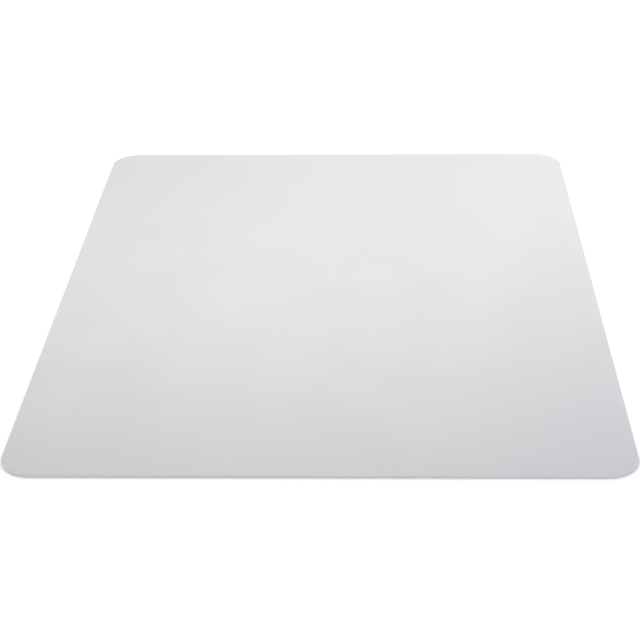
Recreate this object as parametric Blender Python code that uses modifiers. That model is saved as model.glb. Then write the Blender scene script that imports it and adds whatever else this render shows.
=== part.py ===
"""A flat office chair mat: a stiff satin sheet bonded to a thin non-slip backing.

The origin is the centre of the underside. X runs across the mat, Y along it, and +Z is up.
"""

import math

import bpy

# ---------------------------------------------------------------- driving sizes, in metres
MAT_WIDTH = 1.2192  # 48 in, along X
MAT_LENGTH = 1.524  # 60 in, along Y
CORNER_RADIUS = 0.065

SHEET_THICKNESS = 0.0025
SHEET_EDGE_ROUND = 0.0008  # eased edge, top and bottom
SHEET_EDGE_SEGMENTS = 4

BACKING_THICKNESS = 0.0005
BACKING_INSET = 0.002  # the backing stops short of the sheet's edge
BACKING_EDGE_CHAMFER = 0.0001

BOND_GAP = 0.0003  # the bond line between the two layers

# ---------------------------------------------------------------- how finely it is drawn
CORNER_STEPS = 28  # straight steps in each rounded corner
FLAT_ANGLE = math.radians(1)  # faces that meet at less than this are one face
EASED_EDGE_ANGLE = math.radians(40)  # only edges sharper than this are eased
WELD_DISTANCE = 0.00001
ARC_HANDLE = 4 / 3 * math.tan(math.pi / 8)  # handle length of a quarter circle, in radii

# ---------------------------------------------------------------- finishes
SHEET_COLOUR = (0.66, 0.66, 0.66)
SHEET_ROUGHNESS = 0.36
SHEET_CLEARNESS = 0.4  # share of the light that passes into the sheet
BACKING_COLOUR = (0.72, 0.72, 0.72)
BACKING_ROUGHNESS = 0.68
BACKING_CLEARNESS = 0.0


def remove_everything():
    for thing in list(bpy.data.objects):
        bpy.data.objects.remove(thing, do_unlink=True)


def plain_material(name, colour, roughness, clearness):
    material = bpy.data.materials.new(name)
    material.use_nodes = True
    shader = material.node_tree.nodes["Principled BSDF"]
    shader.inputs["Base Color"].default_value = (*colour, 1.0)
    shader.inputs["Roughness"].default_value = roughness
    shader.inputs["Metallic"].default_value = 0.0
    shader.inputs["Transmission Weight"].default_value = clearness
    return material


def corner_arcs(half_width, half_length, radius):
    """Each corner's arc as (start, end, centre), counter-clockwise from the +X -Y corner."""
    for side_x, side_y in ((1, -1), (1, 1), (-1, 1), (-1, -1)):
        centre = (side_x * (half_width - radius), side_y * (half_length - radius))
        on_long_edge = (side_x * half_width, centre[1])
        on_short_edge = (centre[0], side_y * half_length)
        if side_x * side_y < 0:
            yield on_short_edge, on_long_edge, centre
        else:
            yield on_long_edge, on_short_edge, centre


def add_outline(curve, half_width, half_length, radius):
    """A closed outline of four straight edges joined by four quarter circles."""
    arcs = list(corner_arcs(half_width, half_length, radius))
    outline = curve.splines.new("BEZIER")
    outline.bezier_points.add(2 * len(arcs) - 1)  # a new spline already has one point
    outline.use_cyclic_u = True

    for corner, (start, end, centre) in enumerate(arcs):
        # at each end the arc sets off parallel to the line from its centre to its other end
        leaving = [start[axis] + ARC_HANDLE * (end[axis] - centre[axis]) for axis in (0, 1)]
        arriving = [end[axis] + ARC_HANDLE * (start[axis] - centre[axis]) for axis in (0, 1)]

        first = outline.bezier_points[2 * corner]
        first.co = (*start, 0)
        first.handle_left_type = "VECTOR"
        first.handle_right_type = "FREE"
        first.handle_right = (*leaving, 0)

        second = outline.bezier_points[2 * corner + 1]
        second.co = (*end, 0)
        second.handle_left_type = "FREE"
        second.handle_left = (*arriving, 0)
        second.handle_right_type = "VECTOR"


def rounded_sheet(name, width, length, radius, thickness, underside, edge_width, edge_segments):
    """A flat sheet with rounded corners and eased edges, standing on the height underside."""
    curve = bpy.data.curves.new(name, "CURVE")
    curve.dimensions = "2D"
    curve.fill_mode = "BOTH"
    curve.extrude = thickness / 2
    curve.resolution_u = CORNER_STEPS
    add_outline(curve, width / 2, length / 2, radius)

    sheet = bpy.data.objects.new(name, curve)
    sheet.location.z = underside + thickness / 2
    weld = sheet.modifiers.new("weld_caps", "WELD")
    weld.merge_threshold = WELD_DISTANCE
    # each cap becomes one face, because the thin triangles that fill it would hold the bevel back
    whole_caps = sheet.modifiers.new("whole_caps", "DECIMATE")
    whole_caps.decimate_type = "DISSOLVE"
    whole_caps.angle_limit = FLAT_ANGLE
    bevel = sheet.modifiers.new("eased_edge", "BEVEL")
    bevel.width = edge_width
    bevel.segments = edge_segments
    bevel.limit_method = "ANGLE"
    bevel.angle_limit = EASED_EDGE_ANGLE
    return sheet


def make_backing():
    backing = rounded_sheet(
        "grip_backing",
        MAT_WIDTH - 2 * BACKING_INSET,
        MAT_LENGTH - 2 * BACKING_INSET,
        CORNER_RADIUS - BACKING_INSET,
        BACKING_THICKNESS,
        underside=0.0,
        edge_width=BACKING_EDGE_CHAMFER,
        edge_segments=1,
    )
    material = plain_material("grip_film", BACKING_COLOUR, BACKING_ROUGHNESS, BACKING_CLEARNESS)
    backing.data.materials.append(material)
    return backing


def make_sheet():
    sheet = rounded_sheet(
        "wear_sheet",
        MAT_WIDTH,
        MAT_LENGTH,
        CORNER_RADIUS,
        SHEET_THICKNESS,
        underside=BACKING_THICKNESS + BOND_GAP,
        edge_width=SHEET_EDGE_ROUND,
        edge_segments=SHEET_EDGE_SEGMENTS,
    )
    material = plain_material("clear_sheet", SHEET_COLOUR, SHEET_ROUGHNESS, SHEET_CLEARNESS)
    sheet.data.materials.append(material)
    return sheet


def main():
    remove_everything()
    mat = bpy.data.collections.new("chair_mat")
    bpy.context.scene.collection.children.link(mat)
    for layer in (make_backing(), make_sheet()):
        mat.objects.link(layer)


main()
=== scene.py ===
"""The looks of a flat chair mat: a satin clear sheet with an eased edge, on a thin non-slip film."""

import math

import bpy
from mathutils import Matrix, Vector


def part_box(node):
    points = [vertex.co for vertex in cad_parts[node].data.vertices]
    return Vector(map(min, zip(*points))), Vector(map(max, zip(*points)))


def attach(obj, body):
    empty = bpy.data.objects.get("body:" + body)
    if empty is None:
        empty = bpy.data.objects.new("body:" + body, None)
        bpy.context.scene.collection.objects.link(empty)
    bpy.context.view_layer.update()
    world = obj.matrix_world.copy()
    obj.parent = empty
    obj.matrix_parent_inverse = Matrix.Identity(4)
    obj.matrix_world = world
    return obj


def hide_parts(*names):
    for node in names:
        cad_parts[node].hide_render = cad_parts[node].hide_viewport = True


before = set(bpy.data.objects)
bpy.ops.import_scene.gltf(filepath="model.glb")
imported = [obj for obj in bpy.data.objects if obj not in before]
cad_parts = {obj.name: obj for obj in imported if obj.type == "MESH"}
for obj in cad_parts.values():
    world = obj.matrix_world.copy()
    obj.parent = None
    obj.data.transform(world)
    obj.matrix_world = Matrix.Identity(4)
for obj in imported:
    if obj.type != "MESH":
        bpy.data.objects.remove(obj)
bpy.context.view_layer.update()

# ---------------------------------------------------------------- driving sizes, in metres
CORNER_RADIUS = 0.065
SHEET_EDGE_ROUND = 0.0008
FILM_EDGE_CHAMFER = 0.0001
SUPPORT_INSET = 0.004  # a loop of points just inside the rim keeps the flat faces shaded flat
FLOOR_HALF = 45.0
FLOOR_DROP = 0.0002  # the floor lies just under the film

# ---------------------------------------------------------------- how finely it is drawn
CORNER_STEPS = 24  # straight steps in each rounded corner
STRAIGHT_ROWS = 26  # rows of faces between the near corners and the far ones
COLUMNS = 34  # faces across each row
EDGE_STEPS = 6  # straight steps in each rounded edge of the sheet

# ---------------------------------------------------------------- camera
CAMERA_PLACE = (0.1095, -3.0298, 1.6286)
CAMERA_TURN = (60.417, 0.61, 1.035)  # degrees
CAMERA_LENS = 83.33  # millimetres
CAMERA_SENSOR = 36  # millimetres
CAMERA_SHIFT = -0.039

# ---------------------------------------------------------------- studio
# Brightness is what a light's face or the world looks like, where 1 is white in the picture.
WHITE = (1.0, 1.0, 1.0)
COOL = (0.13, 0.13, 1.0)
WORLD_BRIGHTNESS = 0.9
REAR_DISTANCE, REAR_HEIGHT = 4.0, 2.5
REAR_SIZE = (1.6, 1.2)
REAR_AIM_ALONG = 0.4
REAR_AIM_ACROSS = 0.3  # as a share of how far across the box itself is
# each box's name, how far across it is, and its brightness
REAR_ROW = (("rear_left", -1.5, 5.2), ("rear_middle", 0.0, 4.65), ("rear_right", 1.5, 2.55))
# each box's name, place, aim, size, brightness and colour
OTHER_BOXES = (
    ("rear_low", (1.5, 4.0, 1.5), (0.45, 0.4, 0.0), REAR_SIZE, 1.2, WHITE),
    ("rear_wide", (1.2, 5.0, 2.2), (0.3, 0.6, 0.0), (4.0, 2.0), 1.15, WHITE),
    ("near_cool", (0.95, -0.75, 0.9), (0.55, -0.7, 0.0), (0.7, 0.7), 0.65, COOL),
)

# ---------------------------------------------------------------- finishes
# A pattern has the width of its blobs and, where it is relief, a depth. Both are in metres.
SHEET_TONE_LOW = (0.645, 0.645, 0.645)
SHEET_TONE_HIGH = (0.665, 0.665, 0.665)
# painted light: the upright cut edge is coloured near white to lift the shade that falls on it
SHEET_EDGE_PAINTED_LIGHT = (0.97, 0.97, 0.97)
SHEET_ROUGHNESS = (0.34, 0.38)
SHEET_EDGE_ROUGHNESS = 0.14
SHEET_CLEARNESS = 0.4
SHEET_IOR = 1.58
SHEET_CLOUD = 0.16
SHEET_PEEL, SHEET_PEEL_DEPTH = 0.005, 0.00004
SHEET_GRAIN, SHEET_GRAIN_DEPTH = 0.0012, 0.00003

FILM_TONE_LOW = (0.70, 0.70, 0.70)
FILM_TONE_HIGH = (0.74, 0.74, 0.74)
FILM_ROUGHNESS = (0.62, 0.74)
FILM_IOR = 1.45
FILM_CLOUD = 0.05
FILM_SWELL, FILM_SWELL_DEPTH = 0.008, 0.00003
FILM_GRAIN, FILM_GRAIN_DEPTH = 0.0015, 0.00003

SMOOTH, FINE, FINEST = 1.0, 2.0, 3.0  # how much small detail a pattern has
CLOUD_RANGE = (0.3, 0.7)  # the part of a cloud's values that changes the roughness
EDGE_RANGE = (0.35, 0.95)  # from upright enough to be all edge, to level enough to be all face
FLOOR_TONE = (1.0, 1.0, 1.0)  # white, so that little of a horizon shows against the even sky


# ================================================================ shapes
def outline_rows(half_width, half_length, radius):
    """(y, half width there) for each row of the sheet's grid, from the near edge to the far one."""
    near_corner = []
    for step in range(CORNER_STEPS + 1):
        turn = 0.5 * math.pi * step / CORNER_STEPS
        y = -half_length + radius * (1 - math.cos(turn))
        near_corner.append((y, half_width - radius * (1 - math.sin(turn))))
    straight = half_length - radius
    between = [
        (-straight + 2 * straight * row / STRAIGHT_ROWS, half_width)
        for row in range(1, STRAIGHT_ROWS)
    ]
    far_corner = [(-y, half) for y, half in reversed(near_corner)]
    return near_corner + between + far_corner


def layer(rows, height):
    """One flat grid of points, row by row."""
    return [
        [Vector((half * (2 * column / COLUMNS - 1), y, height)) for column in range(COLUMNS + 1)]
        for y, half in rows
    ]


def rim(grid):
    """The indices of a grid's outer points, counter-clockwise seen from above."""
    last_row, last_column = len(grid) - 1, COLUMNS
    near = [(0, column) for column in range(last_column)]
    right = [(row, last_column) for row in range(last_row)]
    far = [(last_row, last_column - column) for column in range(last_column)]
    left = [(last_row - row, 0) for row in range(last_row)]
    return near + right + far + left


def sheet_mesh(name, half_width, half_length, radius, profile):
    """A flat sheet as a closed mesh of quads. The profile is (inset, height), from underside to top."""
    points, faces = [], []

    def add(point):
        points.append(point)
        return len(points) - 1

    def grid_of(inset, height):
        rows = outline_rows(half_width - inset, half_length - inset, radius - inset)
        return layer(rows, height)

    flats = []
    for (inset, height), faces_up in ((profile[0], False), (profile[-1], True)):
        grid = [[add(p) for p in row] for row in grid_of(inset, height)]
        flats.append(grid)
        for row in range(len(grid) - 1):
            for column in range(COLUMNS):
                a, b = grid[row][column], grid[row][column + 1]
                c, d = grid[row + 1][column + 1], grid[row + 1][column]
                faces.append((a, b, c, d) if faces_up else (a, d, c, b))

    edge = rim(flats[0])
    rings = [[flats[0][row][column] for row, column in edge]]
    for inset, height in profile[1:-1]:
        grid = grid_of(inset, height)
        rings.append([add(grid[row][column]) for row, column in edge])
    rings.append([flats[1][row][column] for row, column in edge])
    for lower, upper in zip(rings, rings[1:]):
        for here in range(len(edge)):
            after = (here + 1) % len(edge)
            faces.append((lower[here], lower[after], upper[after], upper[here]))

    mesh = bpy.data.meshes.new(name)
    mesh.from_pydata(points, [], faces)
    mesh.validate()
    mesh.shade_smooth()
    mesh.update()
    return mesh


def arc(centre_inset, centre_height, radius, start, end, steps):
    """Profile points (inset, height) along an arc. Angles are in degrees, up from straight outward."""
    points = []
    for step in range(steps + 1):
        turn = math.radians(start + (end - start) * step / steps)
        points.append(
            (centre_inset - radius * math.cos(turn), centre_height + radius * math.sin(turn))
        )
    return points


def place_piece(name, mesh, material, node):
    piece = bpy.data.objects.new(name, mesh)
    bpy.context.scene.collection.objects.link(piece)
    mesh.materials.append(material)
    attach(piece, "root")
    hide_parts(node)


# ================================================================ materials
def new_material(name):
    """A material with its shader."""
    material = bpy.data.materials.new(name)
    material.use_nodes = True
    return material, material.node_tree.nodes["Principled BSDF"]


def place_on_piece(tree):
    """The place on the piece, in metres."""
    return tree.nodes.new("ShaderNodeTexCoord").outputs["Object"]


def noise(tree, place, size, detail):
    """Cloudy values from 0 to 1, with blobs about as wide as size."""
    texture = tree.nodes.new("ShaderNodeTexNoise")
    texture.inputs["Scale"].default_value = 1 / size
    texture.inputs["Detail"].default_value = detail
    tree.links.new(place, texture.inputs["Vector"])
    return texture.outputs["Fac"]


def spread(tree, value, source, target):
    """A value moved from one range to another and held there."""
    ramp = tree.nodes.new("ShaderNodeMapRange")
    tree.links.new(value, ramp.inputs["Value"])
    ramp.inputs["From Min"].default_value, ramp.inputs["From Max"].default_value = source
    ramp.inputs["To Min"].default_value, ramp.inputs["To Max"].default_value = target
    return ramp.outputs["Result"]


def blended(tree, share, first, second):
    """first where share is 0 and second where it is 1; each a number, a colour or a socket."""
    colours = isinstance(first, tuple) or isinstance(second, tuple)
    mix = tree.nodes.new("ShaderNodeMix")
    mix.data_type = "RGBA" if colours else "FLOAT"
    factor, a, b = (s for s in mix.inputs if s.enabled and s.name in ("Factor", "A", "B"))
    tree.links.new(share, factor)
    for value, into in ((first, a), (second, b)):
        if isinstance(value, tuple):
            into.default_value = (*value, 1)
        elif isinstance(value, (int, float)):
            into.default_value = value
        else:
            tree.links.new(value, into)
    return next(s for s in mix.outputs if s.enabled)


def bump(tree, height, depth, under=None):
    """A normal from a height that runs from 0 to 1 over a depth, on top of another normal."""
    relief = tree.nodes.new("ShaderNodeBump")
    relief.inputs["Distance"].default_value = depth
    tree.links.new(height, relief.inputs["Height"])
    if under is not None:
        tree.links.new(under, relief.inputs["Normal"])
    return relief.outputs["Normal"]


def edge_share(tree):
    """1 on the cut edge and 0 on the flat faces, from how upright the surface is."""
    normal = tree.nodes.new("ShaderNodeNewGeometry").outputs["Normal"]
    split = tree.nodes.new("ShaderNodeSeparateXYZ")
    tree.links.new(normal, split.inputs[0])
    level = tree.nodes.new("ShaderNodeMath")
    level.operation = "ABSOLUTE"
    tree.links.new(split.outputs["Z"], level.inputs[0])
    return spread(tree, level.outputs[0], EDGE_RANGE, (1.0, 0.0))


def sheet_material():
    """Clear plastic with a fine matt grain on its faces and a polished cut edge, painted lighter to
    lift the shade on it.
    """
    material, shader = new_material("satin_sheet")
    tree = material.node_tree
    place = place_on_piece(tree)
    edge = edge_share(tree)
    cloud = noise(tree, place, SHEET_CLOUD, FINEST)
    tone = blended(tree, cloud, SHEET_TONE_LOW, SHEET_TONE_HIGH)
    # painted light: the cut edge gets a lighter colour than the faces, to offset the shade there
    colour = blended(tree, edge, tone, SHEET_EDGE_PAINTED_LIGHT)
    tree.links.new(colour, shader.inputs["Base Color"])
    faces = spread(tree, cloud, CLOUD_RANGE, SHEET_ROUGHNESS)
    tree.links.new(blended(tree, edge, faces, SHEET_EDGE_ROUGHNESS), shader.inputs["Roughness"])
    peel = bump(tree, noise(tree, place, SHEET_PEEL, SMOOTH), SHEET_PEEL_DEPTH)
    grain = bump(tree, noise(tree, place, SHEET_GRAIN, FINE), SHEET_GRAIN_DEPTH, under=peel)
    tree.links.new(grain, shader.inputs["Normal"])
    shader.inputs["IOR"].default_value = SHEET_IOR
    shader.inputs["Transmission Weight"].default_value = SHEET_CLEARNESS
    return material


def film_material():
    """A soft matt film with a fine grain."""
    material, shader = new_material("grip_film")
    tree = material.node_tree
    place = place_on_piece(tree)
    cloud = noise(tree, place, FILM_CLOUD, FINEST)
    tone = blended(tree, cloud, FILM_TONE_LOW, FILM_TONE_HIGH)
    tree.links.new(tone, shader.inputs["Base Color"])
    tree.links.new(spread(tree, cloud, CLOUD_RANGE, FILM_ROUGHNESS), shader.inputs["Roughness"])
    swell = bump(tree, noise(tree, place, FILM_SWELL, SMOOTH), FILM_SWELL_DEPTH)
    grain = bump(tree, noise(tree, place, FILM_GRAIN, FINE), FILM_GRAIN_DEPTH, under=swell)
    tree.links.new(grain, shader.inputs["Normal"])
    shader.inputs["IOR"].default_value = FILM_IOR
    return material


def floor_material():
    material, shader = new_material("floor")
    shader.inputs["Base Color"].default_value = (*FLOOR_TONE, 1)
    shader.inputs["Roughness"].default_value = 1.0
    shader.inputs["Specular IOR Level"].default_value = 0.0
    return material


# ================================================================ the two layers
def make_sheet():
    low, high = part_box("wear_sheet")
    ease = SHEET_EDGE_ROUND
    profile = [(SUPPORT_INSET, low.z)]
    profile += arc(ease, low.z + ease, ease, -90, 0, EDGE_STEPS)
    profile += arc(ease, high.z - ease, ease, 0, 90, EDGE_STEPS)
    profile += [(SUPPORT_INSET, high.z)]
    mesh = sheet_mesh("wear_sheet_body", high.x, high.y, CORNER_RADIUS, profile)
    place_piece("wear_sheet_body", mesh, sheet_material(), "wear_sheet")


def make_film():
    low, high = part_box("grip_backing")
    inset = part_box("wear_sheet")[1].x - high.x
    radius = CORNER_RADIUS - inset
    cut = FILM_EDGE_CHAMFER
    profile = [(SUPPORT_INSET, low.z), (cut, low.z), (0.0, low.z + cut)]
    profile += [(0.0, high.z - cut), (cut, high.z), (SUPPORT_INSET, high.z)]
    mesh = sheet_mesh("grip_backing_film", high.x, high.y, radius, profile)
    place_piece("grip_backing_film", mesh, film_material(), "grip_backing")


# ================================================================ the studio
def make_floor():
    half = FLOOR_HALF
    mesh = bpy.data.meshes.new("floor")
    mesh.from_pydata(
        [(-half, -half, 0), (half, -half, 0), (half, half, 0), (-half, half, 0)],
        [],
        [(0, 1, 2, 3)],
    )
    floor = bpy.data.objects.new("floor", mesh)
    floor.location.z = -FLOOR_DROP
    mesh.materials.append(floor_material())
    bpy.context.scene.collection.objects.link(floor)


def make_world():
    world = bpy.data.worlds.new("studio")
    world.use_nodes = True
    sky = world.node_tree.nodes["Background"]
    sky.inputs["Color"].default_value = (*WHITE, 1)
    sky.inputs["Strength"].default_value = WORLD_BRIGHTNESS
    bpy.context.scene.world = world


def softbox(name, place, target, size, brightness, colour=WHITE):
    """A rectangular light whose face has a given brightness, aimed at a point."""
    light = bpy.data.lights.new(name, "AREA")
    light.shape = "RECTANGLE"
    light.size, light.size_y = size
    light.energy = brightness * math.pi * size[0] * size[1]
    light.color = colour
    lamp = bpy.data.objects.new(name, light)
    lamp.location = place
    aim = Vector(target) - Vector(place)
    lamp.rotation_euler = aim.to_track_quat("-Z", "Y").to_euler()
    lamp.visible_camera = False
    bpy.context.scene.collection.objects.link(lamp)
    return lamp


def make_lights():
    """Softboxes behind the mat, which its satin face mirrors, and a faint cool fill over it."""
    for name, across, brightness in REAR_ROW:
        aim = (REAR_AIM_ACROSS * across, REAR_AIM_ALONG, 0.0)
        softbox(name, (across, REAR_DISTANCE, REAR_HEIGHT), aim, REAR_SIZE, brightness)
    for name, place, aim, size, brightness, colour in OTHER_BOXES:
        lamp = softbox(name, place, aim, size, brightness, colour)
        lamp.visible_glossy = colour == WHITE  # the cool fill tints the mat but isn't mirrored


def make_camera():
    camera = bpy.data.cameras.new("camera")
    camera.lens = CAMERA_LENS
    camera.sensor_width = CAMERA_SENSOR
    camera.shift_x = CAMERA_SHIFT
    holder = bpy.data.objects.new("camera", camera)
    holder.location = CAMERA_PLACE
    holder.rotation_euler = [math.radians(turn) for turn in CAMERA_TURN]
    bpy.context.scene.collection.objects.link(holder)
    bpy.context.scene.camera = holder


make_sheet()
make_film()
make_floor()
make_world()
make_lights()
make_camera()
bpy.context.scene.view_settings.view_transform = "Standard"
